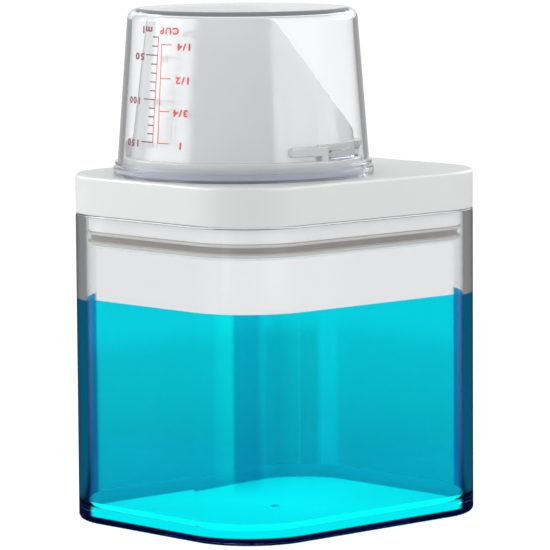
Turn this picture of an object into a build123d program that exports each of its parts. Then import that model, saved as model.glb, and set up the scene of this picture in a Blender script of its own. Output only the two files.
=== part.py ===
from build123d import *
import os
from math import cos, radians, sin, tan

# A clear jar for liquid laundry detergent, with a white lid that plugs into it, a pouring spout in the
# lid, and a clear measuring cup that stands upside down over the spout as its cap.
# Millimetres and degrees. Z is up and the origin is under the middle of the jar's base.
# The cup and spout stand off-centre, towards -Y. Angles round them are counted from +X towards +Y.

# Jar
jar_x = 90.0  # outside width
jar_y = 107.5  # outside depth
jar_height = 94.0  # base to rim
jar_corner = 22.8  # outside corner radius, seen from above
jar_wall = 3.0
floor_top = 2.3  # inside floor above the base plane
floor_fillet = 4.0  # inside, wall to floor
base_round = 1.6  # outside, wall to base
foot_width = 5.5  # flat band that the jar stands on
foot_recess = 0.5  # underside within that band
gate_radius = 1.8  # moulding gate left in the recess
gate_height = 0.35
rim_round = 0.5
rim_lead_in = 0.8  # chamfer that guides the plug

# Liquid
fill_height = 68.3  # surface above the base plane
fill_gap = 0.05  # film between liquid and plastic

# Lid
lid_height = 11.75  # rim of the jar to the top of the deck
lid_wall = 2.0
deck_thickness = 2.4
deck_round = 0.9  # top outside edge
lid_hem_round = 0.35  # bottom outside edge, which shows as the seam
plug_gap = 1.0  # jar wall to plug
plug_wall = 3.4
plug_depth = 10.0  # below the jar's rim
plug_flange = 0.7  # below the seal
plug_lead_in = 0.5  # rounding of the plug's lower edges
plug_shoulder = 5.1  # rim of the jar to the top of the seal's groove
groove_depth = 2.0
web_count = 12  # stiffening webs under the deck
web_thickness = 1.2
web_height = 3.0
boss_gap = 0.6  # spout's snaps to the boss round its hole
boss_wall = 2.4

# Lid seal, with two lips
seal_gap = 0.3  # lip to jar wall
seal_side_gap = 0.1  # seal to the groove's sides
seal_band = 1.2
seal_lip = 0.9
seal_lip_round = 0.3

# Spout
spout_y = -12.8  # axis of the spout and the cup
spout_root_radius = 34.75  # outside of the tube, taken down to the deck
spout_taper = 7.13  # each side leans in by this much
spout_wall = 1.8
spout_height = 48.2  # deck to the flat top
mouth_bearing = 50.5  # direction that the mouth faces
mouth_slope = 54.4  # fall of the mouth below level
mouth_foot = 12.7916  # deck to the mouth's low end, on the outside of the tube
mouth_round = 7.0
spout_edge = 0.5  # rounding of the rim, round the flat top and the mouth
collar_radius = 36.0
collar_height = 5.6
collar_round = 0.6
tail_depth = 5.2  # below the deck's top
tail_radius = 34.0
tail_gap = 0.3  # tail to the deck's hole
snap_reach = 1.3
snap_drop = 0.2  # under the deck
snap_height = 1.5
snap_arc = 30.0
snap_count = 4
snap_start = 45.0  # clear of the plug, which passes close to the tail towards -Y

# Turn lock between the spout and the cup
lock_count = 2
pad_radius = 34.3
pad_top = 10.2
rib_radius = 35.7
rib_low = 7.05
rib_high = 9.85
rib_start = -19.0
rib_end_round = 1.0  # free end, seen from the side
rib_round = 0.4  # edges of the outer face
stop_start = -1.6
stop_end = 2.7
roof_start = 31.0
roof_end = 52.0
roof_low = 8.85
end_stop_arc = 2.4
lug_low = 5.95
lug_high = 8.55
lug_start = 3.5
lug_end = 27.5
lug_radius = 34.7  # inner face
lug_end_round = 0.9  # both ends, seen from the side
lug_round = 0.4  # edges of the inner face

# Measuring cup
cup_height = 50.1
cup_root_radius = 38.39  # outside of the wall, taken down to the deck
cup_taper = 4.36
cup_wall = 1.5
cup_end_round = 3.4
rim_radius = 39.45  # lower, thicker ring of the rim
rim_height = 2.4
rim_round_over = 0.5
bead_radius = 38.88  # upper, thin ring of the rim
bead_low = 3.2
bead_high = 4.1
bead_round_over = 0.3
mouth_lip_radius = 36.45  # inner edge of the cup's mouth
mouth_lip_height = 0.7
ring_groove_radius = 37.5
ring_groove_top = 2.5

# Cup seal
ring_gap = 0.3  # to the collar and to the bottom of its groove
ring_headroom = 0.2

# Heights that several pieces share
deck_top = jar_height + lid_height
deck_under = deck_top - deck_thickness
plug_inset = jar_wall + plug_gap
plug_bottom = jar_height - plug_depth
groove_top = jar_height - plug_shoulder
groove_bottom = plug_bottom + plug_flange
spout_axis = Axis((0, spout_y, 0), (0, 0, 1))


def plan(inset, z):
    """Rounded rectangle that follows the jar's outline at a constant distance inside it."""
    return Pos(0, 0, z) * RectangleRounded(jar_x - 2 * inset, jar_y - 2 * inset, jar_corner - inset)


def prism(inset, low, high):
    """Solid between two heights, inside the jar's outline by a constant distance."""
    return extrude(plan(inset, low), high - low)


def frame(outer, inner, low, high):
    """Closed frame between two insets from the jar's outline."""
    return prism(outer, low, high) - prism(inner, low, high)


def turned(points, start=0.0, arc=360.0, rounds=()):
    """Solid turned round the spout's axis from (radius, height above the deck) points.

    Each item of rounds is a radius and the corners of the outline that it rounds.
    """
    section = Plane((0, spout_y, deck_top), x_dir=(1, 0, 0), z_dir=(0, -1, 0))
    outline = make_face(Polyline(*points, close=True))
    for radius, corners in rounds:
        chosen = [outline.vertices().sort_by_distance(corner)[0] for corner in corners]
        outline = fillet(chosen, radius)
    return revolve(section * outline, spout_axis, arc).rotate(spout_axis, start)


def on_tube(outer, low, high, start, end):
    """Raised feature on the spout's tube, between two heights and two angles."""
    root_low = spout_radius(low) - spout_wall / 2
    root_high = spout_radius(high) - spout_wall / 2
    return turned([(root_low, low), (outer, low), (outer, high), (root_high, high)], start, end - start)


def locks(solids):
    """Copies of the turn lock's features, spaced evenly round the axis."""
    return [solid.rotate(spout_axis, 360 / lock_count * k) for k in range(lock_count) for solid in solids]


def spout_radius(height):
    """Outside radius of the spout's tube at a height above the deck."""
    return spout_root_radius - height * tan(radians(spout_taper))


def cup_radius(height):
    """Outside radius of the cup's wall at a height above the deck."""
    return cup_root_radius - height * tan(radians(cup_taper))


def edges_at(solid, z):
    """Edges that lie flat at a height."""
    return solid.edges().filter_by_position(Axis.Z, z, z)


def make_jar():
    body = prism(0, 0, jar_height)
    body = fillet(edges_at(body, 0), base_round)
    body = fillet(edges_at(body, jar_height), rim_round)
    hollow = prism(jar_wall, floor_top, jar_height)
    hollow = fillet(edges_at(hollow, floor_top), floor_fillet)
    lead_in = extrude(plan(jar_wall - rim_lead_in, jar_height), -rim_lead_in, taper=45)
    underside = prism(foot_width, 0, foot_recess)
    gate = Pos(0, 0, foot_recess - gate_height / 2) * Cylinder(gate_radius, gate_height)
    return body - hollow - lead_in - underside + gate


def make_detergent():
    liquid = prism(jar_wall + fill_gap, floor_top + fill_gap, fill_height)
    return fillet(edges_at(liquid, floor_top + fill_gap), floor_fillet - fill_gap)


def make_lid():
    shell = prism(0, jar_height, deck_top)
    shell = fillet(edges_at(shell, deck_top), deck_round)
    shell = fillet(edges_at(shell, jar_height), lid_hem_round)
    shell -= prism(lid_wall, jar_height, deck_under)
    plug = frame(plug_inset, plug_inset + plug_wall, plug_bottom, deck_under)
    plug = fillet(edges_at(plug, plug_bottom), plug_lead_in)
    plug -= frame(plug_inset, plug_inset + groove_depth, groove_bottom, groove_top)
    well = turned([
        (0, -tail_depth - tail_gap),
        (tail_radius + tail_gap, -tail_depth - tail_gap),
        (tail_radius + tail_gap, 0),
        (0, 0),
    ])
    return shell + plug + stiffeners() - well


def stiffeners():
    """Boss round the spout's hole and the webs that run from it to the plug, under the deck."""
    inner = tail_radius + snap_reach + boss_gap
    boss = turned([
        (inner, -deck_thickness - web_height),
        (inner + boss_wall, -deck_thickness - web_height),
        (inner + boss_wall, -deck_thickness),
        (inner, -deck_thickness),
    ])
    low = deck_under - web_height
    web = Pos(inner + boss_wall / 2, 0, low) * Box(
        jar_y, web_thickness, web_height, align=(Align.MIN, Align.CENTER, Align.MIN)
    )
    for k in range(web_count):
        boss += Pos(0, spout_y, 0) * Rot(0, 0, 360 / web_count * k) * web
    return boss & prism(plug_inset + plug_wall / 2, low, deck_under)


def make_lid_seal():
    outer = jar_wall + seal_gap
    root = plug_inset + groove_depth
    low = groove_bottom + seal_side_gap
    high = groove_top - seal_side_gap
    seal = prism(root - seal_band, low, high)
    for lip_low in (low, high - seal_lip):
        lip_high = lip_low + seal_lip
        lip = prism(outer, lip_low, lip_high)
        seal += fillet(edges_at(lip, lip_low) + edges_at(lip, lip_high), seal_lip_round)
    return seal - prism(root, low, high)


def make_spout():
    bore = spout_root_radius - spout_wall
    top = spout_height + spout_edge  # the mouth's cut trims it to the flat top
    collar_edge = (collar_radius, collar_height)
    tube = turned(
        [
            (tail_radius, -tail_depth),
            (tail_radius, 0),
            (collar_radius, 0),
            collar_edge,
            (spout_radius(collar_height), collar_height),
            (spout_radius(top), top),
            (spout_radius(top) - spout_wall, top),
            (bore, 0),
            (bore, -tail_depth),
        ],
        rounds=[(collar_round, [collar_edge])],
    )
    cut = mouth_cut()
    spout = tube - cut
    spout = fillet(new_edges(tube, cut, combined=spout), spout_edge)
    for k in range(snap_count):
        spout += turned(snap_section(), snap_start + 360 / snap_count * k - snap_arc / 2, snap_arc)
    for feature in locks(lock_features()):
        spout += feature
    return spout


def mouth_reach(height):
    """Distance of the slanted mouth from the axis at a height above the deck, towards the pouring side."""
    return spout_radius(mouth_foot) - (height - mouth_foot) / tan(radians(mouth_slope))


def mouth_cut():
    """Everything above the flat top and the slanted mouth, as a prism across the spout."""
    reach = 2 * collar_radius
    above = 2 * spout_height
    low = mouth_foot - spout_height
    corner = (mouth_reach(spout_height), spout_height)
    outline = Polyline(
        (-reach, spout_height),
        corner,
        (mouth_reach(low), low),
        (mouth_reach(low), above),
        (-reach, above),
        close=True,
    )
    side = make_face(outline)
    side = fillet(side.vertices().sort_by_distance(corner)[0], mouth_round)
    across = Plane((0, spout_y, deck_top), x_dir=bearing(mouth_bearing), z_dir=bearing(mouth_bearing - 90))
    return extrude(across * side, reach, both=True)


def bearing(angle):
    """Level direction at an angle from +X."""
    return (cos(radians(angle)), sin(radians(angle)), 0)


def snap_section():
    """Barb that clicks under the deck."""
    top = -deck_thickness - snap_drop
    low = top - snap_height
    inside = tail_radius - snap_reach / 2
    return [(inside, top), (tail_radius + snap_reach, top), (tail_radius, low), (inside, low)]


def lock_features():
    """Pad, stop rib and roof that one lug of the cup works against."""
    seat = collar_height / 2
    rib = on_tube(rib_radius, rib_low, rib_high, rib_start, stop_end)
    rib = fillet(radial_edges(rib).sort_by_distance(around(rib_radius, rib_start))[:2], rib_end_round)
    rib += on_tube(rib_radius, seat, rib_high, stop_start, stop_end)
    return [
        on_tube(pad_radius, seat, pad_top, stop_start, roof_end),
        fillet(edges_on(rib, rib_radius), rib_round),
        on_tube(rib_radius, roof_low, pad_top, roof_start, roof_end),
        on_tube(rib_radius, seat, pad_top, roof_end - end_stop_arc, roof_end),
    ]


def around(radius, angle):
    """Point beside the spout's axis, level with the ribs."""
    height = deck_top + (rib_low + rib_high) / 2
    return (radius * cos(radians(angle)), spout_y + radius * sin(radians(angle)), height)


def radial_edges(solid):
    """Straight edges that run in towards the spout's axis, at the ends of a feature."""
    return solid.edges().filter_by(GeomType.LINE).filter_by(Axis.Z, reverse=True)


def edges_on(solid, radius):
    """Edges that lie at a distance from the spout's axis, round the face of a feature."""
    def away(vertex):
        return ((vertex.X ** 2 + (vertex.Y - spout_y) ** 2) ** 0.5 - radius) ** 2 < 1e-6
    return ShapeList(edge for edge in solid.edges() if all(away(vertex) for vertex in edge.vertices()))


def make_measuring_cup():
    inner_end = cup_height - cup_wall
    end_outside = (cup_radius(cup_height), cup_height)
    end_inside = (cup_radius(inner_end) - cup_wall, inner_end)
    rim_edges = [(rim_radius, 0), (rim_radius, rim_height)]
    bead_edges = [(bead_radius, bead_low), (bead_radius, bead_high)]
    body = turned(
        [
            (mouth_lip_radius, 0),
            *rim_edges,
            (cup_radius(rim_height), rim_height),
            (cup_radius(bead_low), bead_low),
            *bead_edges,
            (cup_radius(bead_high), bead_high),
            end_outside,
            (0, cup_height),
            (0, inner_end),
            end_inside,
            (cup_radius(ring_groove_top) - cup_wall, ring_groove_top),
            (ring_groove_radius, ring_groove_top),
            (ring_groove_radius, mouth_lip_height),
            (mouth_lip_radius, mouth_lip_height),
        ],
        rounds=[
            (cup_end_round, [end_outside]),
            (cup_end_round - cup_wall, [end_inside]),
            (rim_round_over, rim_edges),
            (bead_round_over, bead_edges),
        ],
    )
    for lug in locks([make_lug()]):
        body += lug
    return body


def make_lug():
    """Rounded lug on the cup's inner wall, which turns in under the spout's roof."""
    root = cup_radius(lug_high) - cup_wall / 2
    lug = turned(
        [(lug_radius, lug_low), (root, lug_low), (root, lug_high), (lug_radius, lug_high)],
        lug_start,
        lug_end - lug_start,
    )
    lug = fillet(radial_edges(lug), lug_end_round)
    return fillet(edges_on(lug, lug_radius), lug_round)


def make_cup_seal():
    top = ring_groove_top - ring_headroom
    inner = collar_radius + ring_gap
    outer = ring_groove_radius - ring_gap
    return turned([(inner, mouth_lip_height), (outer, mouth_lip_height), (outer, top), (inner, top)])


makers = {
    "jar": make_jar,
    "detergent": make_detergent,
    "lid": make_lid,
    "lid_seal": make_lid_seal,
    "spout": make_spout,
    "cup_seal": make_cup_seal,
    "measuring_cup": make_measuring_cup,
}

os.makedirs("parts", exist_ok=True)
for name, maker in makers.items():
    export_step(maker(), f"parts/{name}.step")
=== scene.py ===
"""The detergent dispenser's finishes, printed scale, light and camera.

Lengths are in metres in the scene and in millimetres in the fields whose names end in _mm. Angles are in
degrees, measured from +X towards +Y. Colours are as seen on a screen, and shades are linear.
"""

import logging
import math
from dataclasses import dataclass, field
from enum import Enum
from functools import cached_property, partial, reduce

import bpy
from bpy.types import Material, Mesh, Node, NodeSocket, NodeTree
from mathutils import Matrix, Vector
from mathutils.bvhtree import BVHTree


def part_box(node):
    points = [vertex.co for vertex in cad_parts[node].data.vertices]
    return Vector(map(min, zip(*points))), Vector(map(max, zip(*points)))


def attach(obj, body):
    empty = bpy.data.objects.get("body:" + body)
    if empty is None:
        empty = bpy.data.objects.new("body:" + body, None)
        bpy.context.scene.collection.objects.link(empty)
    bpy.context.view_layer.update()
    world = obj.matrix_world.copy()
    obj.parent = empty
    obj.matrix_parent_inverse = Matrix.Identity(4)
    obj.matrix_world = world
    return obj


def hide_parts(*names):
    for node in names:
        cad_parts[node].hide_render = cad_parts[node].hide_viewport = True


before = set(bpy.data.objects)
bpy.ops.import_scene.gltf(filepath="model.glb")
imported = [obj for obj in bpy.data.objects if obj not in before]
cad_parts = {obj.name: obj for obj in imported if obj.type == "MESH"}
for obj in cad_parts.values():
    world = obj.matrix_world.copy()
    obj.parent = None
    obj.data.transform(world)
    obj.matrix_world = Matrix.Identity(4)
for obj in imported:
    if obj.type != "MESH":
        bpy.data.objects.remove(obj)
log = logging.getLogger("dispenser")

MM = 0.001
PHOTO_PIXELS = 550
SHARP_DEGREES = 32
NODES_ACROSS, NODE_COLUMN, NODE_ROW = 8, 220, -260

Colour = tuple[float, float, float]
Shade = tuple[float, float, float, float]
Stops = tuple[tuple[float, Colour], ...]
Span = tuple[float, float]
Sockets = bpy.types.bpy_prop_collection

BLACK: Shade = (0.0, 0.0, 0.0, 1.0)
WHITE: Shade = (1.0, 1.0, 1.0, 1.0)


class Body(Enum):
    """The bodies that pieces ride on."""

    JAR = "jar"
    CUP = "cup"


class Slot(Enum):
    """Names of two of the record's material slots."""

    CUP_PLASTIC = "cup_plastic"
    DETERGENT = "detergent"


class Side(Enum):
    """The side of an upright scale line that its ticks stand on, as a sign along the arc."""

    TOWARDS_MINUS = -1.0
    TOWARDS_PLUS = 1.0


def linear(colour: Colour) -> Shade:
    """Turns a screen colour into the linear one that shaders take."""
    red, green, blue = ((c / 12.92) if c <= 0.04045 else ((c + 0.055) / 1.055) ** 2.4 for c in colour)
    return red, green, blue, 1.0


def grey(tone: float) -> Shade:
    """A linear grey."""
    return tone, tone, tone, 1.0


def scaled(colour: Colour, share: float, lift: float = 0.0) -> Colour:
    """A colour made darker or lighter, and then lifted by as much in all its parts."""
    return tuple(min(1.0, c * share + lift) for c in colour)


def metres(lengths_mm: Span) -> Span:
    """Turns a pair of lengths from millimetres to metres."""
    return lengths_mm[0] * MM, lengths_mm[1] * MM


def heading_of(degrees: float) -> tuple[float, float, float]:
    """The level direction at an angle."""
    return math.cos(math.radians(degrees)), math.sin(math.radians(degrees)), 0.0


def make_mesh(name: str, points: list, faces: list[tuple[int, ...]], *materials: Material) -> Mesh:
    """Makes a mesh.

    Args:
        name: Its name.
        points: Its points.
        faces: The numbers of each face's points.
        materials: The material of each of its slots.

    Returns:
        The mesh.
    """
    mesh = bpy.data.meshes.new(name)
    mesh.from_pydata(points, [], faces)
    for material in materials:
        mesh.materials.append(material)
    return mesh


def set_out(name: str, data: bpy.types.ID) -> bpy.types.Object:
    """Makes an object and puts it in the scene.

    Args:
        name: Its name.
        data: Its mesh, text, lamp or camera.

    Returns:
        The object, at the origin.
    """
    thing = bpy.data.objects.new(name, data)
    bpy.context.scene.collection.objects.link(thing)
    return thing


def plain_mesh(thing: bpy.types.Object) -> Mesh:
    """Turns a modified mesh or a text into a plain mesh, and takes the object away.

    Args:
        thing: The object.

    Returns:
        The plain mesh.
    """
    bpy.context.view_layer.update()
    graph = bpy.context.evaluated_depsgraph_get()
    mesh = bpy.data.meshes.new_from_object(thing.evaluated_get(graph))
    thing.modifiers.clear()
    bpy.data.objects.remove(thing)
    return mesh


def smooth(mesh: Mesh) -> None:
    """Shades a mesh smoothly between its sharp edges."""
    mesh.shade_smooth()
    mesh.set_sharp_from_angle(angle=math.radians(SHARP_DEGREES))


class Sheet:
    """A node tree that is filled from left to right, with the readings that its colours depend on."""

    def __init__(self, tree: NodeTree) -> None:
        """Starts on an empty tree.

        Args:
            tree: The node tree to fill, which loses the nodes that it has.
        """
        self.tree = tree
        tree.nodes.clear()

    def wire(self, node: Node, inputs: dict) -> None:
        """Fills a node's inputs.

        Args:
            node: The node.
            inputs: What each input gets, by name or number: a socket to link or a plain value.
        """
        for name, value in inputs.items():
            if isinstance(value, NodeSocket):
                self.tree.links.new(value, node.inputs[name])
            else:
                node.inputs[name].default_value = value

    def add(self, kind: str, inputs: dict | None = None, **settings: object) -> Node:
        """Adds a node.

        Args:
            kind: The node's type name.
            inputs: What each input gets, as in wire.
            settings: Properties of the node itself.

        Returns:
            The new node.
        """
        node = self.tree.nodes.new(kind)
        row, column = divmod(len(self.tree.nodes), NODES_ACROSS)
        node.location = (NODE_COLUMN * column, NODE_ROW * row)
        for name, value in settings.items():
            setattr(node, name, value)
        self.wire(node, inputs or {})
        return node

    def maths(self, operation: str, *values: object, clamp: bool = True) -> NodeSocket:
        """Does a sum with sockets or numbers, whose result stays from 0 to 1 where clamp is set."""
        inputs = dict(enumerate(values))
        return self.add("ShaderNodeMath", inputs, operation=operation, use_clamp=clamp).outputs[0]

    def product(self, *values: object, clamp: bool = True) -> NodeSocket:
        """Multiplies sockets or numbers."""
        return reduce(lambda one, other: self.maths("MULTIPLY", one, other, clamp=clamp), values)

    def vector(self, operation: str, *values: object) -> NodeSocket:
        """Does a sum with vectors, each a socket or three numbers."""
        outputs = self.add("ShaderNodeVectorMath", dict(enumerate(values)), operation=operation).outputs
        return outputs["Value" if operation in ("LENGTH", "DOT_PRODUCT") else "Vector"]

    def part(self, vector: NodeSocket, axis: str) -> NodeSocket:
        """One part of a vector."""
        return self.add("ShaderNodeSeparateXYZ", {0: vector}).outputs[axis]

    def point(self, x: object = 0.0, y: object = 0.0, z: object = 0.0) -> NodeSocket:
        """A vector of three parts."""
        return self.add("ShaderNodeCombineXYZ", {0: x, 1: y, 2: z}).outputs[0]

    def noise(self, place: object, scale: object, detail: float, rough: float = 0.5) -> NodeSocket:
        """Adds a noise texture, with detail as the number of its finer layers and rough as their strength."""
        inputs = {"Vector": place, "Scale": scale, "Detail": detail, "Roughness": rough}
        return self.add("ShaderNodeTexNoise", inputs).outputs[0]

    def bands(self, value: object, stops: Stops) -> NodeSocket:
        """Adds a colour ramp.

        Args:
            value: The socket to read, from 0 to 1.
            stops: Places on the ramp with their colours, lowest first.

        Returns:
            The socket with the colour.
        """
        node = self.add("ShaderNodeValToRGB", {0: value})
        elements = node.color_ramp.elements
        while len(elements) < len(stops):
            elements.new(1.0)
        for element, (place, colour) in zip(elements, stops):
            element.position = place
            element.color = linear(colour)
        return node.outputs[0]

    def ramp(
            self, value: object, low: float, high: float, start: float = 0.0, end: float = 1.0) -> NodeSocket:
        """Adds a smooth step of a value, from start at low to end at high."""
        inputs = {"Value": value, "From Min": low, "From Max": high, "To Min": start, "To Max": end}
        return self.add("ShaderNodeMapRange", inputs, interpolation_type="SMOOTHSTEP").outputs[0]

    def fall(self, value: object, low: float, high: float) -> NodeSocket:
        """Adds a smooth step down, from one at low to nought at high."""
        return self.ramp(value, low, high, 1.0, 0.0)

    def over(self, span_mm: Span) -> NodeSocket:
        """One on what is higher than a span of heights, and nought on what is lower."""
        return self.ramp(self.height, *metres(span_mm))

    def under(self, span_mm: Span) -> NodeSocket:
        """One on what is lower than a span of heights, and nought on what is higher."""
        return self.fall(self.height, *metres(span_mm))

    def blend(self, factor: object, first: object, second: object, kind: str = "MIX") -> NodeSocket:
        """Adds a colour mix.

        Args:
            factor: How much of the second colour shows.
            first: The first colour, a socket, a colour or a shade.
            second: The second colour, a socket, a colour or a shade.
            kind: How the two are mixed.

        Returns:
            The socket with the mixed colour.
        """
        first, second = (linear(c) if isinstance(c, tuple) and len(c) == 3 else c for c in (first, second))
        mix = self.add("ShaderNodeMix", {0: factor, 6: first, 7: second}, data_type="RGBA", blend_type=kind)
        return mix.outputs[2]

    @cached_property
    def place(self) -> NodeSocket:
        """Where a point is on its object."""
        return self.add("ShaderNodeTexCoord").outputs["Object"]

    @cached_property
    def height(self) -> NodeSocket:
        """How high a point is on its object."""
        return self.part(self.place, "Z")

    @cached_property
    def shape(self) -> Sockets:
        """What a surface says of its shape."""
        return self.add("ShaderNodeNewGeometry").outputs

    @cached_property
    def outside(self) -> NodeSocket:
        """One where the eye sees a surface from its outside."""
        return self.maths("SUBTRACT", 1.0, self.shape["Backfacing"])

    @cached_property
    def lean(self) -> NodeSocket:
        """Nought on an upright surface and one on a level one."""
        return self.maths("ABSOLUTE", self.part(self.shape["True Normal"], "Z"))

    @cached_property
    def facing(self) -> NodeSocket:
        """Nought where the eye looks straight at a surface and one where it looks along it."""
        return self.add("ShaderNodeLayerWeight", {"Blend": 0.5}).outputs["Facing"]

    @cached_property
    def path(self) -> Sockets:
        """What kind of light it is, and which way it came."""
        return self.add("ShaderNodeLightPath").outputs


def shader_group(name: str, inputs: dict[str, float], *outputs: str) -> tuple[Sheet, Sockets, Node]:
    """Starts a shader group that puts out values.

    Args:
        name: The group's name.
        inputs: Its input names with their usual values.
        outputs: Its output names.

    Returns:
        The group's sheet, what it is given, and its output node.
    """
    tree = bpy.data.node_groups.new(name, "ShaderNodeTree")
    for label, usual in inputs.items():
        tree.interface.new_socket(label, in_out="INPUT", socket_type="NodeSocketFloat").default_value = usual
    for label in outputs:
        tree.interface.new_socket(label, in_out="OUTPUT", socket_type="NodeSocketFloat")
    sheet = Sheet(tree)
    return sheet, sheet.add("NodeGroupInput").outputs, sheet.add("NodeGroupOutput")


class Effects:
    """The effects that several finishes share, each built once."""

    def __init__(self) -> None:
        """Builds the groups."""
        self.grain = self.build_grain()
        self.handling = self.build_handling()

    @staticmethod
    def build_grain() -> NodeTree:
        """Builds the fine skin that a moulded surface takes from its tool, over a slow ripple.

        Returns:
            The group, which puts out a height.
        """
        usual = {"Grain": 900.0, "Ripple": 25.0, "Ripple share": 0.5}
        sheet, given, result = shader_group("Moulded skin", usual, "Height")
        fine = sheet.noise(sheet.place, given["Grain"], 3.0)
        slow = sheet.noise(sheet.place, given["Ripple"], 1.0)
        height = sheet.add("ShaderNodeMix", {0: given["Ripple share"], 2: fine, 3: slow}).outputs[0]
        sheet.wire(result, {"Height": height})
        return sheet.tree

    @staticmethod
    def build_handling() -> NodeTree:
        """Builds the marks of use: hairline scratches and the soft haze that hands leave.

        Returns:
            The group, which puts out a mask for each.
        """
        usual = {"Hairlines": 0.5, "Haze": 0.5}
        sheet, given, result = shader_group("Handling marks", usual, "Hairline", "Haze")
        masks = []
        for turn, stretch in ((0.35, (9.0, 9.0, 420.0)), (-0.9, (380.0, 380.0, 14.0))):
            mapping = {"Vector": sheet.place, "Rotation": (turn, turn * 0.6, turn), "Scale": stretch}
            lines = sheet.add("ShaderNodeMapping", mapping).outputs[0]
            masks.append(sheet.ramp(sheet.noise(lines, 3.0, 1.5), 0.70, 0.78))
        hairline = sheet.product(sheet.maths("MAXIMUM", *masks), given["Hairlines"])
        cloud = sheet.noise(sheet.place, 38.0, 4.0, 0.6)
        haze = sheet.product(sheet.ramp(cloud, 0.42, 0.68), given["Haze"])
        sheet.wire(result, {"Hairline": hairline, "Haze": haze})
        return sheet.tree


class Coat(Sheet):
    """A material in the making, whose shader has its roughness and normal wired."""

    def __init__(self, finish: "Finish", effects: Effects) -> None:
        """Starts the material.

        Args:
            finish: What gives the name, the roughness, the skin and the marks of use.
            effects: The shared effects.
        """
        self.material = bpy.data.materials.new(finish.name)
        self.material.use_nodes = True
        super().__init__(self.material.node_tree)
        given = {"Grain": finish.grain, "Ripple": finish.ripple}
        skin = self.add("ShaderNodeGroup", given, node_tree=effects.grain).outputs["Height"]
        given = {"Hairlines": finish.hairlines, "Haze": finish.haze}
        marks = self.add("ShaderNodeGroup", given, node_tree=effects.handling).outputs
        self.haze = marks["Haze"]
        rough = self.maths("ADD", self.maths("ADD", finish.roughness, marks["Hairline"]), self.haze)
        bump = self.add("ShaderNodeBump", {"Height": skin, "Distance": finish.relief_mm * MM})
        self.shader = self.add("ShaderNodeBsdfPrincipled", {"Roughness": rough, "Normal": bump.outputs[0]})

    def shade(self, inputs: dict) -> None:
        """Fills the shader's inputs."""
        self.wire(self.shader, inputs)

    def light_up(self, light: object, strength: float = 1.0) -> None:
        """Gives the shader a light of its own."""
        self.shade({"Emission Color": light, "Emission Strength": strength})

    def soften(self, weight: float, radius: Colour, depth_mm: float) -> None:
        """Lets light a little way into the shader's surface."""
        self.shade({"Subsurface Weight": weight, "Subsurface Radius": radius})
        self.shade({"Subsurface Scale": depth_mm * MM})

    def close(self, passed: Colour | None) -> None:
        """Wires the shader to the material's output.

        Args:
            passed: The share of red, green and blue that goes through where light comes from a lamp.
        """
        surface = self.shader.outputs[0]
        if passed:
            through = self.add("ShaderNodeBsdfTransparent", {"Color": (*passed, 1.0)}).outputs[0]
            shaders = {0: self.path["Is Shadow Ray"], 1: surface, 2: through}
            surface = self.add("ShaderNodeMixShader", shaders).outputs[0]
        self.add("ShaderNodeOutputMaterial", {"Surface": surface})


@dataclass(frozen=True)
class Finish:
    """What every finish has: a name, a roughness, a skin and marks of use."""

    name: str
    roughness: float = 0.4
    grain: float = 900.0
    ripple: float = 12.0
    relief_mm: float = 0.0
    hairlines: float = 0.0
    haze: float = 0.0
    passed: Colour | None = None

    def build(self, effects: Effects) -> Material:
        """Builds the material.

        Args:
            effects: The shared effects.

        Returns:
            The material.
        """
        coat = Coat(self, effects)
        self.paint(coat)
        coat.close(self.passed)
        return coat.material

    def paint(self, coat: Coat) -> None:
        """Colours a material, each finish in its own way."""
        raise NotImplementedError


@dataclass(frozen=True)
class WhitePlastic(Finish):
    """Satin white polypropylene, with a painted glow on its skirt where it shows through a clear wall."""

    grain: float = 2600.0
    ripple: float = 20.0
    colour: Colour = (0.9, 0.905, 0.905)
    worn: float = 0.97
    skirt_mm: Span = (92.5, 94.0)
    skirt_glow: float = 0.0
    refraction: float = 1.49

    def paint(self, coat: Coat) -> None:
        """Colours the plastic and paints a glow on its skirt.

        Args:
            coat: The material.
        """
        # Painted light: the skirt glows where it is seen through a clear wall.
        lit = coat.ramp(coat.height, *metres(self.skirt_mm), self.skirt_glow, 0.0)
        coat.light_up(coat.product(lit, coat.path["Is Transmission Ray"]))
        tone = coat.blend(coat.haze, self.colour, scaled(self.colour, self.worn))
        coat.shade({"Base Color": tone, "IOR": self.refraction})
        coat.soften(0.08, (1.0, 0.95, 0.9), 1.2)


@dataclass(frozen=True)
class Silicone(Finish):
    """Soft pale silicone rubber, with painted shade between its lips and a painted glow where it shows
    through a clear wall.
    """

    roughness: float = 0.5
    grain: float = 3000.0
    ripple: float = 60.0
    relief_mm: float = 0.03
    haze: float = 0.12
    colour: Colour = (0.86, 0.845, 0.83)
    glow: Colour = (0.47, 0.462, 0.455)
    dusty: float = 1.06
    hollow_mm: Span = (0.0, 0.0)
    hollow_shade: float = 0.8
    hollow_glow: float = 0.7
    hollow_edge_mm: float = 0.2
    refraction: float = 1.41

    def paint(self, coat: Coat) -> None:
        """Colours the rubber and paints its shade between the lips and its glow.

        Args:
            coat: The material.
        """
        (low, high), edge = self.hollow_mm, self.hollow_edge_mm
        hollow = coat.product(coat.over((low - edge, low + edge)), coat.under((high - edge, high + edge)))
        # Painted light: a glow where the rubber is seen through a clear wall, dimmer between the lips.
        light = coat.blend(hollow, self.glow, scaled(self.glow, self.hollow_glow))
        coat.light_up(coat.blend(coat.path["Is Transmission Ray"], BLACK, light))
        tone = coat.blend(coat.haze, self.colour, scaled(self.colour, self.dusty))
        # Painted shade: the rubber is darker between its lips.
        tone = coat.blend(hollow, tone, scaled(self.colour, self.hollow_shade))
        coat.shade({"Base Color": tone, "IOR": self.refraction})
        coat.soften(0.25, (1.0, 0.9, 0.8), 1.0)


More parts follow.
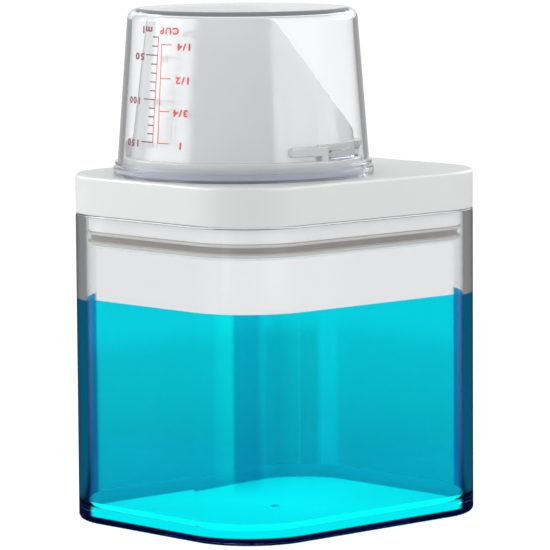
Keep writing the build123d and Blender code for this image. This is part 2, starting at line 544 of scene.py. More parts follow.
@dataclass(frozen=True)
class ClearPlastic(Finish):
    """Clear moulded plastic, with painted shade on its edges where the eye looks along the wall."""

    roughness: float = 0.01
    hairlines: float = 0.02
    haze: float = 0.01
    colour: Colour = (0.965, 0.967, 0.97)
    edge: Colour = (0.89, 0.9, 0.92)
    edge_facing: Span = (0.4, 0.5)
    refraction: float = 1.49
    passed: Colour = (0.96, 0.97, 0.97)

    def paint(self, coat: Coat) -> None:
        """Makes the plastic clear.

        Args:
            coat: The material.
        """
        # Painted shade in the wall's colour and painted light as its emission, which each kind of wall gives.
        tone, light = self.wall(coat)
        coat.light_up(light)
        coat.shade({"Base Color": tone, "IOR": self.refraction, "Transmission Weight": 1.0})

    def wall(self, coat: Coat) -> tuple[NodeSocket, NodeSocket]:
        """The wall's colour with its painted shade, and the painted light on it, which each kind of wall
        gives.
        """
        raise NotImplementedError


@dataclass(frozen=True)
class CupPlastic(ClearPlastic):
    """Thin clear plastic whose thick rim, low down, is tinted a little blue, with painted shade on its edges
    and lugs and a painted highlight on the round edge of its end.
    """

    ripple: float = 30.0
    relief_mm: float = 0.003
    colour: Colour = (0.962, 0.965, 0.968)
    edge: Colour = (0.83, 0.84, 0.86)
    edge_facing: Span = (0.58, 0.95)
    outline_shade: Colour = (0.4, 0.415, 0.45)
    outline_facing: Span = (0.86, 0.97)
    level: Span = (0.9985, 0.9998)
    refraction: float = 1.1
    rim: Colour = (0.92, 0.928, 0.945)
    rim_top_mm: Span = (109.6, 110.1)
    lug_shade: Colour = (0.35, 0.38, 0.46)
    lug_top_mm: Span = (114.9, 115.0)
    lug_root_mm: Span = (35.9, 36.0)
    lug_lean: Span = (0.2, 0.5)
    axis_y_mm: float = -12.8
    end_mm: Span = (151.8, 152.8)
    end_rise: Span = (0.3, 0.7)
    end_facing: Span = (0.8, 0.93)
    end_highlight: Colour = (0.5, 0.505, 0.52)

    def wall(self, coat: Coat) -> tuple[NodeSocket, NodeSocket]:
        """Paints shade on the edges, tints the rim, paints shade on the lugs, and paints a highlight on the
        round edge of the cup's end.

        Args:
            coat: The material.

        Returns:
            The sockets with the colour and the painted highlight.
        """
        # Painted shade: the edges darken where the eye looks along the wall, with a darker line at the
        # silhouette.
        line = coat.blend(coat.ramp(coat.facing, *self.outline_facing), self.edge, self.outline_shade)
        along = coat.product(coat.ramp(coat.facing, *self.edge_facing), coat.fall(coat.lean, *self.level))
        body = coat.blend(along, coat.blend(coat.under(self.rim_top_mm), self.colour, self.rim), line)
        # Painted shade: the lugs' faces that are not upright are dark blue-grey.
        from_axis = coat.vector("SUBTRACT", coat.place, (0, self.axis_y_mm * MM, 0))
        radius = coat.vector("LENGTH", coat.vector("MULTIPLY", from_axis, (1, 1, 0)))
        inner = coat.fall(radius, *metres(self.lug_root_mm))
        lug_shade = coat.product(inner, coat.under(self.lug_top_mm), coat.ramp(coat.lean, *self.lug_lean))
        # Painted highlight: the round edge of the cup's end glows where it turns up towards the eye.
        rise = coat.part(coat.shape["Normal"], "Z")
        turned = coat.product(coat.ramp(rise, *self.end_rise), coat.fall(rise, *self.level))
        towards = coat.product(coat.fall(coat.facing, *self.end_facing), coat.outside)
        seen = coat.product(coat.over(self.end_mm), turned, towards)
        return coat.blend(lug_shade, body, self.lug_shade), coat.blend(seen, BLACK, self.end_highlight)


@dataclass(frozen=True)
class FilledPlastic(ClearPlastic):
    """Clear plastic with a coloured liquid behind it, with painted shade on its edges in the liquid's colour.
    """

    ripple: float = 18.0
    relief_mm: float = 0.004
    fill_mm: Span = (67.9, 68.3)
    base_mm: Span = (2.15, 2.65)
    base_edge_mm: Span = (2.0, 2.8)
    base_corner_mm: Span = (5.2, 7.2)
    base_lean: Span = (0.4, 0.95)
    slab_mm: Span = (4.7, 5.7)
    corner_turn: Span = (0.02, 0.12)
    straight_mm: Span = (22.2, 30.95)
    outside_mm: Span = (20.4, 20.9)
    liquid_edge_shade: Colour = (0.0, 0.38, 0.7)
    outline_shade: Colour = (0.0, 0.1, 0.5)
    outline_facing: Span = (0.84, 0.94)
    base_shade: Colour = (0.0, 0.0, 0.15)
    slab_light: Colour = (0.0, 0.92, 0.95)
    base_light: Colour = (0.0, 0.01, 0.16)

    def wall(self, coat: Coat) -> tuple[NodeSocket, NodeSocket]:
        """Paints shade on the edges, grey above the liquid and blue beside it, with painted light at the foot
        of a flat wall and painted shade on the base.

        Args:
            coat: The material.

        Returns:
            The sockets with the colour and the painted light.
        """
        # Painted shade on the round corners where the eye looks along the wall: grey above the liquid, blue
        # beside it, darker at the silhouette.
        size = coat.vector("ABSOLUTE", coat.shape["Normal"])
        least = coat.maths("MINIMUM", coat.part(size, "X"), coat.part(size, "Y"))
        along = coat.product(coat.ramp(coat.facing, *self.edge_facing), coat.ramp(least, *self.corner_turn))
        blue = coat.blend(coat.ramp(coat.facing, *self.outline_facing), self.liquid_edge_shade, self.outline_shade)
        body = coat.blend(along, self.colour, coat.blend(coat.under(self.fill_mm), self.edge, blue))
        # Painted shade: dark blue on the base's low edge, where it is not level.
        low = coat.product(coat.under(self.base_edge_mm), coat.fall(coat.lean, *self.base_lean))
        body = coat.blend(low, body, self.base_shade)
        # The outside of the walls, where the eye sees it from outside.
        straight = (*metres(self.straight_mm), 1.0)
        beyond = coat.vector("SUBTRACT", coat.vector("ABSOLUTE", coat.place), straight)
        reach = coat.vector("LENGTH", coat.vector("MAXIMUM", beyond, (0, 0, 0)))
        front = coat.product(coat.ramp(reach, *metres(self.outside_mm)), coat.outside)
        # Painted light: a cyan glow, over a black wall colour, at the foot of a flat wall stands in for the
        # lit floor showing through, above a painted dark blue glow on the base, which reaches up the corners.
        band = coat.product(coat.over(self.base_mm), coat.under(self.slab_mm))
        lit = coat.product(band, coat.maths("SUBTRACT", 1.0, along), front)
        climbing = coat.product(coat.under(self.base_corner_mm), along)
        base = coat.product(coat.maths("MAXIMUM", coat.under(self.base_mm), climbing), front)
        light = coat.blend(lit, coat.blend(base, BLACK, self.base_light), self.slab_light)
        return coat.blend(lit, body, BLACK), light


@dataclass(frozen=True)
class Liquid(Finish):
    """Clear blue detergent. Light takes its colour where it goes in, and deepens where it leaves low down.

    The stops paint the light and shade that the jar's round corners gather in some directions and spread
    in others. They give the colour, and the tone where it leaves, by how far a wall has turned from facing
    along Y.
    """

    roughness: float = 0.0
    entering: Stops = (
        (0.0, (0.0, 0.817, 0.939)), (0.25, (0.0, 0.825, 0.94)), (0.42, (0.0, 0.96, 1.0)),
        (0.53, (0.0, 0.98, 1.0)), (0.58, (0.0, 0.62, 0.8)), (0.8, (0.0, 0.6, 0.79)),
        (0.86, (0.0, 0.78, 0.91)), (0.95, (0.0, 0.74, 0.88)), (1.0, (0.0, 0.817, 0.939)))
    leaving: tuple[tuple[float, float], ...] = (
        (0.0, 0.892), (0.2, 0.9), (0.28, 1.0), (0.5, 1.0), (0.58, 0.8), (0.97, 0.78), (1.0, 0.892))
    deep: Colour = (0.3, 0.5, 0.68)
    deep_mm: Span = (-19.8, 66.0)
    calm_mm: Span = (14.0, 22.0)
    pale_mm: Span = (46.0, 57.0)
    level_lean: Span = (0.5, 0.9)
    skim_facing: Span = (0.6, 0.85)
    skim_lean: Span = (0.03, 0.12)
    refraction: float = 1.001
    passed: Colour = (0.75, 0.98, 0.99)

    def paint(self, coat: Coat) -> None:
        """Colours the liquid.

        Args:
            coat: The material.
        """
        across = coat.maths("ABSOLUTE", coat.part(coat.shape["Normal"], "X"))
        tones = coat.bands(across, tuple((place, (tone, tone, tone)) for place, tone in self.leaving))
        wall = coat.blend(coat.under(self.deep_mm), tones, self.deep, "MULTIPLY")
        clear = coat.maths("MAXIMUM", coat.ramp(coat.lean, *self.level_lean), coat.over(self.pale_mm))
        leaving = coat.blend(clear, wall, WHITE)
        # Painted reflection: where the eye skims the tilted surface from above, the liquid takes no tint and
        # shows white.
        upward = {"Blend": 0.5, "Normal": coat.point(z=1.0)}
        from_above = coat.add("ShaderNodeLayerWeight", upward).outputs["Facing"]
        tilted = coat.ramp(coat.lean, *self.skim_lean)
        skim_reflection = coat.product(coat.ramp(from_above, *self.skim_facing), tilted)
        # Painted light and shade: above the calm foot, the entering colour is banded by how far a wall has
        # turned.
        plain = self.entering[0][1]
        entering = coat.blend(coat.over(self.calm_mm), plain, coat.bands(across, self.entering))
        entering = coat.blend(skim_reflection, entering, WHITE)
        tone = coat.blend(coat.shape["Backfacing"], entering, leaving)
        coat.shade({"Base Color": tone, "IOR": self.refraction, "Transmission Weight": 1.0})


@dataclass(frozen=True)
class LitLiquid(Finish):
    """The liquid's underside, with a painted glow that stands in for the pale surface below the jar lighting
    it up.
    """

    colour: Colour = (0.0, 0.93, 0.895)
    cloud: float = 0.97
    cloud_scale: float = 22.0
    cloud_span: Span = (0.35, 0.65)
    round_shade: Colour = (0.0, 0.6, 0.66)
    gate_colour: Colour = (0.0, 0.62, 0.68)
    gate_mm: Span = (1.15, 2.3)
    foot_level: Span = (0.9, 0.995)
    glow: float = 0.97

    def paint(self, coat: Coat) -> None:
        """Colours the underside and paints its glow and shade.

        Args:
            coat: The material.
        """
        clouds = coat.ramp(coat.noise(coat.place, self.cloud_scale, 1.0), *self.cloud_span)
        tone = coat.blend(clouds, self.colour, scaled(self.colour, self.cloud))
        # Painted shade: the rounded foot is darker where the eye sees it from inside.
        level = coat.maths("ABSOLUTE", coat.part(coat.shape["Normal"], "Z"))
        rounded = coat.product(coat.fall(level, *self.foot_level), coat.shape["Backfacing"])
        tone = coat.blend(rounded, tone, self.round_shade)
        away = coat.vector("LENGTH", coat.vector("MULTIPLY", coat.place, (1, 1, 0)))
        tone = coat.blend(coat.fall(away, *metres(self.gate_mm)), tone, self.gate_colour)
        # Painted light: the underside glows in its own colour.
        coat.light_up(tone, self.glow)
        coat.shade({"Base Color": tone, "Specular IOR Level": 0.0})


@dataclass(frozen=True)
class Ink(Finish):
    """Screen-printed ink, paler where it lies thin."""

    grain: float = 4000.0
    ripple: float = 200.0
    relief_mm: float = 0.01
    haze: float = 0.2
    colour: Colour = (0.8, 0.3, 0.3)
    thin: Span = (1.15, 0.05)

    def paint(self, coat: Coat) -> None:
        """Colours the ink."""
        coat.shade({"Base Color": coat.blend(coat.haze, self.colour, scaled(self.colour, *self.thin))})


class Finishes:
    """The finishes of this dispenser."""

    def __init__(self, effects: Effects) -> None:
        """Builds each material.

        Args:
            effects: The shared effects.
        """
        self.jar = FilledPlastic("Jar plastic").build(effects)
        self.cup = CupPlastic("Cup plastic").build(effects)
        self.lid = WhitePlastic(
            "Lid plastic", roughness=0.32, relief_mm=0.02, hairlines=0.06, haze=0.08, skirt_glow=0.42
        ).build(effects)
        self.spout = WhitePlastic(
            "Spout plastic", roughness=0.12, relief_mm=0.008, hairlines=0.04, haze=0.05).build(effects)
        self.seal = Silicone("Seal silicone", hollow_mm=(85.9, 87.7)).build(effects)
        self.cup_seal = Silicone(
            "Cup seal silicone", colour=(0.8, 0.81, 0.84), glow=(0.2, 0.2, 0.22)).build(effects)
        self.liquid = Liquid("Detergent").build(effects)
        self.liquid_foot = LitLiquid("Detergent underside").build(effects)
        self.dark_ink = Ink("Dark ink", colour=(0.43, 0.2, 0.26)).build(effects)
        self.red_ink = Ink("Red ink", colour=(0.85, 0.33, 0.34)).build(effects)


def dress(node: str, material: Material) -> None:
    """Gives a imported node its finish.

    Args:
        node: The node's name.
        material: Its material.
    """
    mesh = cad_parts[node].data
    mesh.materials.clear()
    mesh.materials.append(material)
    smooth(mesh)
    log.info("dressed %s in %s", node, material.name)


@dataclass
class Jar:
    """The jar and the liquid in it."""

    finishes: Finishes
    liquid_corner_mm: float = 19.75
    liquid_foot_round_mm: float = 3.95
    meniscus_rise_mm: float = 0.6
    meniscus_width_mm: float = 2.2
    meniscus_power: float = 2.5
    corner_steps: int = 16
    round_steps: int = 8

    def build(self) -> None:
        """Dresses the jar and pours the liquid."""
        dress("jar", self.finishes.jar)
        self.pour()

    def ring(self, inset: float, height: float) -> list[tuple[float, float, float]]:
        """A rounded rectangle inside the liquid's outline.

        Args:
            inset: Its distance from the outline.
            height: Its height.

        Returns:
            Its points, counted round from +X towards +Y.
        """
        low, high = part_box("detergent")
        corner = self.liquid_corner_mm * MM
        radius = corner - inset
        points = []
        for quarter in range(4):
            centre_x = (high.x - corner) if quarter in (0, 3) else (low.x + corner)
            centre_y = (high.y - corner) if quarter in (0, 1) else (low.y + corner)
            for step in range(self.corner_steps + 1):
                angle = math.pi / 2 * (quarter + step / self.corner_steps)
                x, y = centre_x + radius * math.cos(angle), centre_y + radius * math.sin(angle)
                points.append((x, y, height))
        return points

    def pour(self) -> None:
        """Makes the liquid: a rounded foot, upright sides and a surface that climbs a little at the walls."""
        low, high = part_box("detergent")
        foot = self.liquid_foot_round_mm * MM
        rise, width = self.meniscus_rise_mm * MM, self.meniscus_width_mm * MM
        quarter = [math.pi / 2 * step / self.round_steps for step in range(self.round_steps + 1)]
        rings = [self.ring(foot * (1 - math.sin(a)), low.z + foot * (1 - math.cos(a))) for a in quarter]
        rings.append(self.ring(0.0, high.z))
        shares = [(step + 1) / self.round_steps for step in range(self.round_steps)]
        rings += [self.ring(width * share, high.z - rise * (1 - (1 - share) ** self.meniscus_power))
                  for share in shares]
        size = len(rings[0])
        points = [point for ring in rings for point in ring]
        faces = [(size * r + i, size * r + after, size * (r + 1) + after, size * (r + 1) + i)
                 for r in range(len(rings) - 1) for i, after in ((i, (i + 1) % size) for i in range(size))]
        faces.append(tuple(reversed(range(size))))
        faces.append(tuple(size * (len(rings) - 1) + i for i in range(size)))
        mesh = make_mesh("liquid", points, faces, self.finishes.liquid, self.finishes.liquid_foot)
        for polygon in mesh.polygons:
            if polygon.center.z < low.z + foot:
                polygon.material_index = 1
        smooth(mesh)
        liquid = set_out("liquid", mesh)
        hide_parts("detergent")
        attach(liquid, Body.JAR.value)
        log.info("poured the liquid")


@dataclass
class Lid:
    """The lid with its seal and its spout."""

    finishes: Finishes

    def build(self) -> None:
        """Dresses the three."""
        dress("lid", self.finishes.lid)
        dress("spout", self.finishes.spout)
        dress("lid_seal", self.finishes.seal)


@dataclass(frozen=True)
class Label:
    """A word or number of the printed scale, with how much wider than usual its letters are."""

    text: str
    x_mm: float
    height_mm: float
    align: str = "CENTER"
    widening: float = 1.2


@dataclass(frozen=True)
class ScaleLine:
    """One upright line of the printed scale with its ticks and labels, flat on the print's own sheet.

    The sheet has its X along the cup's wall, in millimetres from the print's middle, and its Y up the wall.
    """

    name: str
    top_x_mm: float
    foot_x_mm: float
    top_mm: float
    ticks: int
    step_mm: float
    step_gain_mm: float
    short_mm: float
    long_mm: float
    long_every: int
    first_long: int
    stroke_mm: float
    side: Side
    labels: tuple[Label, ...]

    @property
    def foot_mm(self) -> float:
        """The height of the lowest tick above the lid."""
        last = self.ticks - 1
        return self.top_mm - self.step_mm * last + self.step_gain_mm * last**2


class TickPrinter:
    """Prints the ticks of a scale line with Geometry Nodes."""

    INPUTS = {
        "Float": ("Step", "Step gain", "Short", "Long", "Lean", "Stroke", "Thickness", "Side"),
        "Int": ("Count", "Every", "First long"),
        "Material": ("Ink",),
    }

    def __init__(self) -> None:
        """Builds the tree: points down the line, a tick at each, longer at every so many."""
        self.tree = bpy.data.node_groups.new("Scale ticks", "GeometryNodeTree")
        self.sockets: dict[str, str] = {}
        for kind, labels in self.INPUTS.items():
            for label in labels:
                socket = self.tree.interface.new_socket(
                    label, in_out="INPUT", socket_type=f"NodeSocket{kind}")
                self.sockets[label] = socket.identifier
        self.tree.interface.new_socket("Geometry", in_out="OUTPUT", socket_type="NodeSocketGeometry")
        self.fill(Sheet(self.tree))

    @staticmethod
    def fill(sheet: Sheet) -> None:
        """Wires the tree.

        Args:
            sheet: The empty tree.
        """
        given = sheet.add("NodeGroupInput").outputs
        maths = partial(sheet.maths, clamp=False)
        index = sheet.add("GeometryNodeInputIndex").outputs[0]
        falling = maths("MULTIPLY", index, given["Step"])
        gained = sheet.product(index, index, given["Step gain"], clamp=False)
        down = maths("SUBTRACT", gained, falling)
        place = sheet.point(maths("MULTIPLY", down, given["Lean"]), down)
        points = sheet.add("GeometryNodePoints", {"Count": given["Count"], "Position": place}).outputs[0]
        turn = maths("MODULO", maths("SUBTRACT", index, given["First long"]), given["Every"])
        nought = {"A": turn, "B": 0.0, "Epsilon": 0.1}
        is_long = sheet.add("FunctionNodeCompare", nought, data_type="FLOAT", operation="EQUAL").outputs[0]
        lengths = {"Switch": is_long, "False": given["Short"], "True": given["Long"]}
        length = sheet.add("GeometryNodeSwitch", lengths, input_type="FLOAT").outputs[0]
        size = sheet.point(1.0, given["Stroke"], given["Thickness"])
        bar = sheet.add("GeometryNodeMeshCube", {"Size": size, "Vertices X": 7}).outputs[0]
        shift = sheet.point(maths("MULTIPLY", given["Side"], 0.5))
        moved = sheet.add("GeometryNodeTransform", {"Geometry": bar, "Translation": shift}).outputs[0]
        ticks = {"Points": points, "Instance": moved, "Scale": sheet.point(length, 1.0, 1.0)}
        placed = sheet.add("GeometryNodeInstanceOnPoints", ticks).outputs[0]
        real = sheet.add("GeometryNodeRealizeInstances", {0: placed}).outputs[0]
        inked = sheet.add("GeometryNodeSetMaterial", {"Geometry": real, "Material": given["Ink"]}).outputs[0]
        sheet.add("NodeGroupOutput", {0: inked})

    def print(self, line: ScaleLine, ink: Material, thickness_mm: float) -> Mesh:
        """Prints one line's ticks on the flat sheet.

        Args:
            line: The scale line.
            ink: The ink of the ticks.
            thickness_mm: How thick the ink lies.

        Returns:
            The ticks as a plain mesh, in millimetres.
        """
        carrier = set_out("ticks", bpy.data.meshes.new("ticks"))
        modifier = carrier.modifiers.new("Ticks", "NODES")
        modifier.node_group = self.tree
        values = {
            "Step": line.step_mm, "Step gain": line.step_gain_mm, "Short": line.short_mm,
            "Long": line.long_mm, "Lean": (line.top_x_mm - line.foot_x_mm) / (line.top_mm - line.foot_mm),
            "Stroke": line.stroke_mm, "Thickness": thickness_mm, "Side": line.side.value,
            "Count": line.ticks, "Every": line.long_every, "First long": line.first_long, "Ink": ink,
        }
        for label, value in values.items():
            modifier[self.sockets[label]] = value
        mesh = plain_mesh(carrier)
        mesh.transform(Matrix.Translation((line.top_x_mm, line.top_mm, 0)))
        return mesh


@dataclass
class Cup:
    """The measuring cup with its seal and its printed scale."""

    finishes: Finishes
    print_angle: float = -86.0
    ink_thickness_mm: float = 0.03
    ink_clearance_mm: float = 0.02
    letter_mm: float = 2.75
    letter_weight: float = 0.12
    letter_spacing: float = 1.25
    letter_steps: int = 3
    line_rows: int = 12
    wrap_passes: int = 3
    lines: tuple[ScaleLine, ...] = (
        ScaleLine(
            "ml", top_x_mm=-0.68, foot_x_mm=-1.38, top_mm=42.57, ticks=13, step_mm=2.7, step_gain_mm=0.009,
            short_mm=2.6, long_mm=5.4, long_every=5, first_long=2, stroke_mm=0.36, side=Side.TOWARDS_MINUS,
            labels=(Label("ml", -6.0, 44.6, "CENTER", 1.6), Label("50", -6.9, 36.7, "LEFT", 1.7),
                    Label("100", -7.7, 23.6, "LEFT", 1.5), Label("150", -7.4, 11.0, "LEFT", 1.6))),
        ScaleLine(
            "cup", top_x_mm=0.68, foot_x_mm=0.85, top_mm=40.4, ticks=4, step_mm=10.08, step_gain_mm=0.133,
            short_mm=3.9, long_mm=3.9, long_every=1, first_long=0, stroke_mm=0.3, side=Side.TOWARDS_PLUS,
            labels=(Label("CUP", 3.4, 44.6), Label("1/4", 9.1, 40.0), Label("1/2", 9.1, 30.1),
                    Label("3/4", 8.7, 20.5), Label("1", 9.2, 10.9))),
    )

    def build(self) -> None:
        """Dresses the cup and its seal and prints the scale on the cup."""
        dress("measuring_cup", self.finishes.cup)
        dress("cup_seal", self.finishes.cup_seal)
        printer = TickPrinter()
        inked = tuple(zip(self.lines, (self.finishes.dark_ink, self.finishes.red_ink)))
        for line, ink in inked:
            ticks = printer.print(line, ink, self.ink_thickness_mm)
            self.finish_print(f"scale_{line.name}_ticks", [ticks], ink)
        for line in self.lines:
            self.finish_print(f"scale_{line.name}_line", [self.upright(line)], self.finishes.red_ink)
        for line, ink in inked:
            letters = [self.letters(label) for label in line.labels]
            self.finish_print(f"scale_{line.name}_numbers", letters, ink)

    def upright(self, line: ScaleLine) -> Mesh:
        """Makes the upright line that a scale's ticks stand on.

        Args:
            line: The scale line.

        Returns:
            A flat strip with a few joints along it, in millimetres.
        """
        half, thick = line.stroke_mm / 2, self.ink_thickness_mm / 2
        points, faces = [], []
        for row in range(self.line_rows + 1):
            share = row / self.line_rows
            x = line.top_x_mm + (line.foot_x_mm - line.top_x_mm) * share
            y = line.top_mm + half + (line.foot_mm - line.top_mm - 2 * half) * share
            points += [(x - half, y, -thick), (x + half, y, -thick)]
            points += [(x + half, y, thick), (x - half, y, thick)]
        for row in range(self.line_rows):
            a, b = 4 * row, 4 * row + 4
            faces += [(a + i, a + (i + 1) % 4, b + (i + 1) % 4, b + i) for i in range(4)]
        faces += [(3, 2, 1, 0), tuple(4 * self.line_rows + i for i in range(4))]
        return make_mesh(f"{line.name} line", points, faces)

    def letters(self, label: Label) -> Mesh:
        """Sets a label upside down, as the cup stands on its mouth.

        Args:
            label: The label to set.

        Returns:
            Its mesh on the flat sheet, in millimetres.
        """
        text = bpy.data.curves.new(label.text, "FONT")
        text.body = label.text
        text.size = self.letter_mm
        text.align_x = label.align
        text.align_y = "CENTER"
        text.offset = self.letter_weight
        text.space_character = self.letter_spacing
        text.extrude = self.ink_thickness_mm / 2
        text.resolution_u = self.letter_steps
        mesh = plain_mesh(set_out(label.text, text))
        turned = Matrix.Rotation(math.pi, 4, "Z") @ Matrix.Diagonal((label.widening, 1.0, 1.0, 1.0))
        mesh.transform(Matrix.Translation((label.x_mm, label.height_mm, 0)) @ turned)
        return mesh

    def finish_print(self, name: str, sheets: list[Mesh], ink: Material) -> None:
        """Wraps flat prints round the cup's wall and makes them one piece.

        Args:
            name: The piece's name.
            sheets: The flat meshes, in millimetres.
            ink: The ink they are printed in.
        """
        low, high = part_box("measuring_cup")
        axis = Vector(((low.x + high.x) / 2, (low.y + high.y) / 2, 0))
        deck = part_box("lid")[1].z
        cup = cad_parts["measuring_cup"].data
        wall = BVHTree.FromPolygons([v.co for v in cup.vertices], [p.vertices for p in cup.polygons])
        middle = math.radians(self.print_angle)
        reach = high.x - low.x
        points, faces = [], []
        for sheet in sheets:
            first = len(points)
            radius = reach / 2
            for vertex in sheet.vertices:
                x, y, z = vertex.co
                for _ in range(self.wrap_passes):
                    angle = middle + x * MM / radius
                    outward = Vector((math.cos(angle), math.sin(angle), 0))
                    start = axis + outward * reach + Vector((0, 0, deck + y * MM))
                    hit = wall.ray_cast(start, -outward)[0]
                    radius = (Vector((hit.x, hit.y, 0)) - axis).length
                lift = (self.ink_clearance_mm + self.ink_thickness_mm / 2 + z) * MM
                points.append(hit + outward * lift)
            faces += [tuple(first + v for v in p.vertices) for p in sheet.polygons]
            bpy.data.meshes.remove(sheet)
        piece = set_out(name, make_mesh(name, points, faces, ink))
        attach(piece, Body.CUP.value)
        log.info("printed %s", name)


@dataclass(frozen=True)
class SoftBox:
    """A rectangular studio lamp that faces the object's middle."""

    name: str
    angle: float
    elevation: float
    distance: float
    width: float
    height: float
    power: float


@dataclass(frozen=True)
class Panel:
    """An upright panel far off that glossy surfaces mirror. Its foot and head are sines of elevations."""

    angle: float
    half_width: float
    softness: float
    tone: float
    foot: float
    head: float


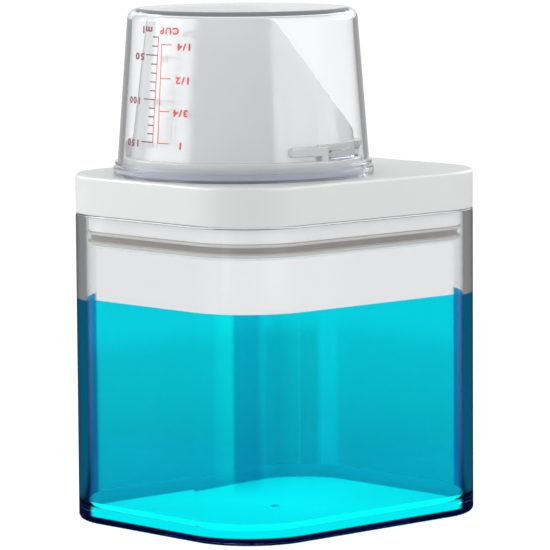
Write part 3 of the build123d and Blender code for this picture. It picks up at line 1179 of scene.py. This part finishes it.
@dataclass
class Studio:
    """The floor, the background, the lamps and the camera."""

    middle: Vector = field(default_factory=lambda: Vector((0, 0, 0.0737)))
    azimuth: float = 47.279
    elevation: float = 6.351
    distance: float = 1.27268
    roll: float = -0.398
    focal_px: float = 4162.9
    centre_px: Span = (275.40, 274.53)
    clip: Span = (0.05, 50.0)
    floor_radius: float = 9.0
    floor_corners: int = 96
    floor_bounced: float = 0.35
    floor_bare: float = 0.72
    floor_through: float = 1.08
    floor_pale: float = 0.55
    floor_pale_through: float = 0.02
    floor_roughness: float = 0.9
    room_tone: float = 0.66
    indoor_tone: float = 1.0
    mirrored_tone: float = 0.02
    mirrored_sky: float = 1.0
    sky_rise: Span = (0.55, 0.75)
    edge_tone: float = 0.3
    away_angle: float = 137.3
    away_turn: Span = (0.2, 0.5)
    boxes: tuple[SoftBox, ...] = (
        SoftBox("overhead", -60, 84, 1.0, 1.1, 1.1, 0.8),
        SoftBox("left", -134, 10, 0.9, 1.15, 1.1, 4.9),
        SoftBox("right", 25, 10, 0.9, 1.2, 1.1, 2.4),
    )
    panels: tuple[Panel, ...] = (
        Panel(-77.3, 7, 1.5, 0.9, -0.12, -0.095),
        Panel(-3, 18, 3, 0.6, -0.12, -0.095),
        Panel(-134, 33, 8, 7.5, 0.05, 0.6),
        Panel(50.3, 59.6, 0.8, 4.6, 0.05, 0.6),
        Panel(137.3, 60, 10, 0.9, -0.092, 2.0),
    )
    panel_fade: float = 0.01

    def build(self) -> None:
        """Sets up everything round the object."""
        self.lay_floor()
        self.light_background()
        for box in self.boxes:
            self.hang(box)
        self.aim_camera()
        bpy.context.scene.view_settings.view_transform = "Standard"

    def lay_floor(self) -> None:
        """Lays the pale floor, a wide disc that bounced light finds darker than the eye does."""
        ring = [(self.floor_radius * math.cos(a), self.floor_radius * math.sin(a), 0)
                for a in (math.tau * i / self.floor_corners for i in range(self.floor_corners))]
        material = bpy.data.materials.new("Pale floor")
        material.use_nodes = True
        sheet = Sheet(material.node_tree)
        bare = sheet.blend(sheet.path["Is Camera Ray"], grey(self.floor_bounced), grey(self.floor_bare))
        heading = sheet.vector("NORMALIZE", sheet.place)
        through = self.seen_through(sheet, heading, self.mirrored_tone, grey(self.floor_through))
        is_through = sheet.path["Is Transmission Ray"]
        shader = sheet.add("ShaderNodeBsdfPrincipled", {
            "Base Color": sheet.blend(is_through, grey(self.floor_pale), grey(self.floor_pale_through)),
            "Emission Color": sheet.blend(is_through, bare, through),
            "Emission Strength": 1.0,
            "Roughness": self.floor_roughness,
            "Specular IOR Level": 0.0,
        })
        sheet.add("ShaderNodeOutputMaterial", {"Surface": shader.outputs[0]})
        floor = set_out("floor", make_mesh("floor", ring, [tuple(range(self.floor_corners))], material))
        floor.visible_glossy = False

    def light_background(self) -> None:
        """Lights the room: white where the eye looks through, panels for what mirrors, even for the rest."""
        world = bpy.data.worlds.new("Studio")
        bpy.context.scene.world = world
        world.use_nodes = True
        sheet = Sheet(world.node_tree)
        towards = sheet.add("ShaderNodeTexCoord").outputs["Generated"]
        rise = sheet.part(towards, "Z")
        level = sheet.vector("NORMALIZE", sheet.vector("MULTIPLY", towards, (1, 1, 0)))
        mirrored = sheet.ramp(rise, *self.sky_rise, self.mirrored_tone, self.mirrored_sky)
        for panel in self.panels:
            near = sheet.vector("DOT_PRODUCT", level, heading_of(panel.angle))
            edges = (math.cos(math.radians(panel.half_width + side * panel.softness)) for side in (1, -1))
            shown = sheet.ramp(near, *edges, 0.0, panel.tone)
            above = sheet.ramp(rise, panel.foot, panel.foot + self.panel_fade)
            below = sheet.fall(rise, panel.head, panel.head + self.panel_fade)
            shown = sheet.product(shown, above, below, clamp=False)
            mirrored = sheet.maths("MAXIMUM", mirrored, shown, clamp=False)
        through = self.seen_through(sheet, level, mirrored, WHITE)
        tone = sheet.blend(sheet.path["Is Glossy Ray"], grey(self.room_tone), mirrored)
        tone = sheet.blend(sheet.path["Is Transmission Ray"], tone, through)
        tone = sheet.blend(sheet.path["Is Camera Ray"], tone, WHITE)
        light = sheet.add("ShaderNodeBackground", {"Color": tone})
        sheet.add("ShaderNodeOutputWorld", {0: light.outputs[0]})

    def seen_through(self, sheet: Sheet, heading: object, mirrored: object, straight: Shade) -> NodeSocket:
        """What shows through clear walls.

        Light that was mirrored inside a wall shows what mirrors show, and a tone on the far side. Light that
        falls on what stands behind a clear wall has a tone of its own.

        Args:
            sheet: The sheet of the floor's or the world's nodes.
            heading: The level direction that the light comes from.
            mirrored: What mirrors show from there.
            straight: The tone of light that goes straight through to the eye.

        Returns:
            The socket with the tone.
        """
        onward = sheet.vector("DOT_PRODUCT", heading, heading_of(self.away_angle))
        far_side = sheet.ramp(onward, *self.away_turn, 0.0, self.edge_tone)
        edges = sheet.maths("MAXIMUM", mirrored, far_side, clamp=False)
        clear = sheet.maths("LESS_THAN", sheet.path["Glossy Depth"], 0.5)
        indoors = sheet.maths("GREATER_THAN", sheet.path["Diffuse Depth"], 0.5)
        return sheet.blend(indoors, sheet.blend(clear, edges, straight), grey(self.indoor_tone))

    def hang(self, box: SoftBox) -> None:
        """Hangs one lamp, which only what it lights can see.

        Args:
            box: The lamp.
        """
        lamp = bpy.data.lights.new(box.name, "AREA")
        lamp.shape = "RECTANGLE"
        lamp.size, lamp.size_y = box.width, box.height
        lamp.energy = box.power
        rise = math.radians(box.elevation)
        out = Vector(heading_of(box.angle)) * math.cos(rise) + Vector((0, 0, math.sin(rise)))
        holder = set_out(box.name, lamp)
        holder.location = self.middle + out * box.distance
        holder.rotation_euler = out.to_track_quat("Z", "Y").to_euler()
        holder.visible_camera = holder.visible_transmission = holder.visible_glossy = False

    def aim_camera(self) -> None:
        """Puts the camera where the photograph was taken from."""
        turn, rise, roll = (math.radians(a) for a in (self.azimuth, self.elevation, self.roll))
        back = Vector((math.sin(turn) * math.cos(rise), -math.cos(turn) * math.cos(rise), math.sin(rise)))
        right = Vector((math.cos(turn), math.sin(turn), 0))
        up = back.cross(right)
        x_axis = right * math.cos(roll) + up * math.sin(roll)
        y_axis = up * math.cos(roll) - right * math.sin(roll)
        data = bpy.data.cameras.new("camera")
        data.sensor_width = 36.0
        data.lens = self.focal_px * data.sensor_width / PHOTO_PIXELS
        data.shift_x = (PHOTO_PIXELS / 2 - self.centre_px[0]) / PHOTO_PIXELS
        data.shift_y = (self.centre_px[1] - PHOTO_PIXELS / 2) / PHOTO_PIXELS
        data.clip_start, data.clip_end = self.clip
        camera = set_out("camera", data)
        turned = Matrix((x_axis, y_axis, back)).transposed().to_4x4()
        camera.matrix_world = Matrix.Translation(self.middle + back * self.distance) @ turned
        bpy.context.scene.camera = camera


def main() -> None:
    logging.basicConfig(level=logging.INFO, format="%(name)s: %(message)s")
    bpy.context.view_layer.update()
    finishes = Finishes(Effects())
    assemblies: tuple[Jar | Lid | Cup, ...] = (Jar(finishes), Lid(finishes), Cup(finishes))
    for assembly in assemblies:
        assembly.build()
    Studio().build()


if __name__ == "__main__":
    main()
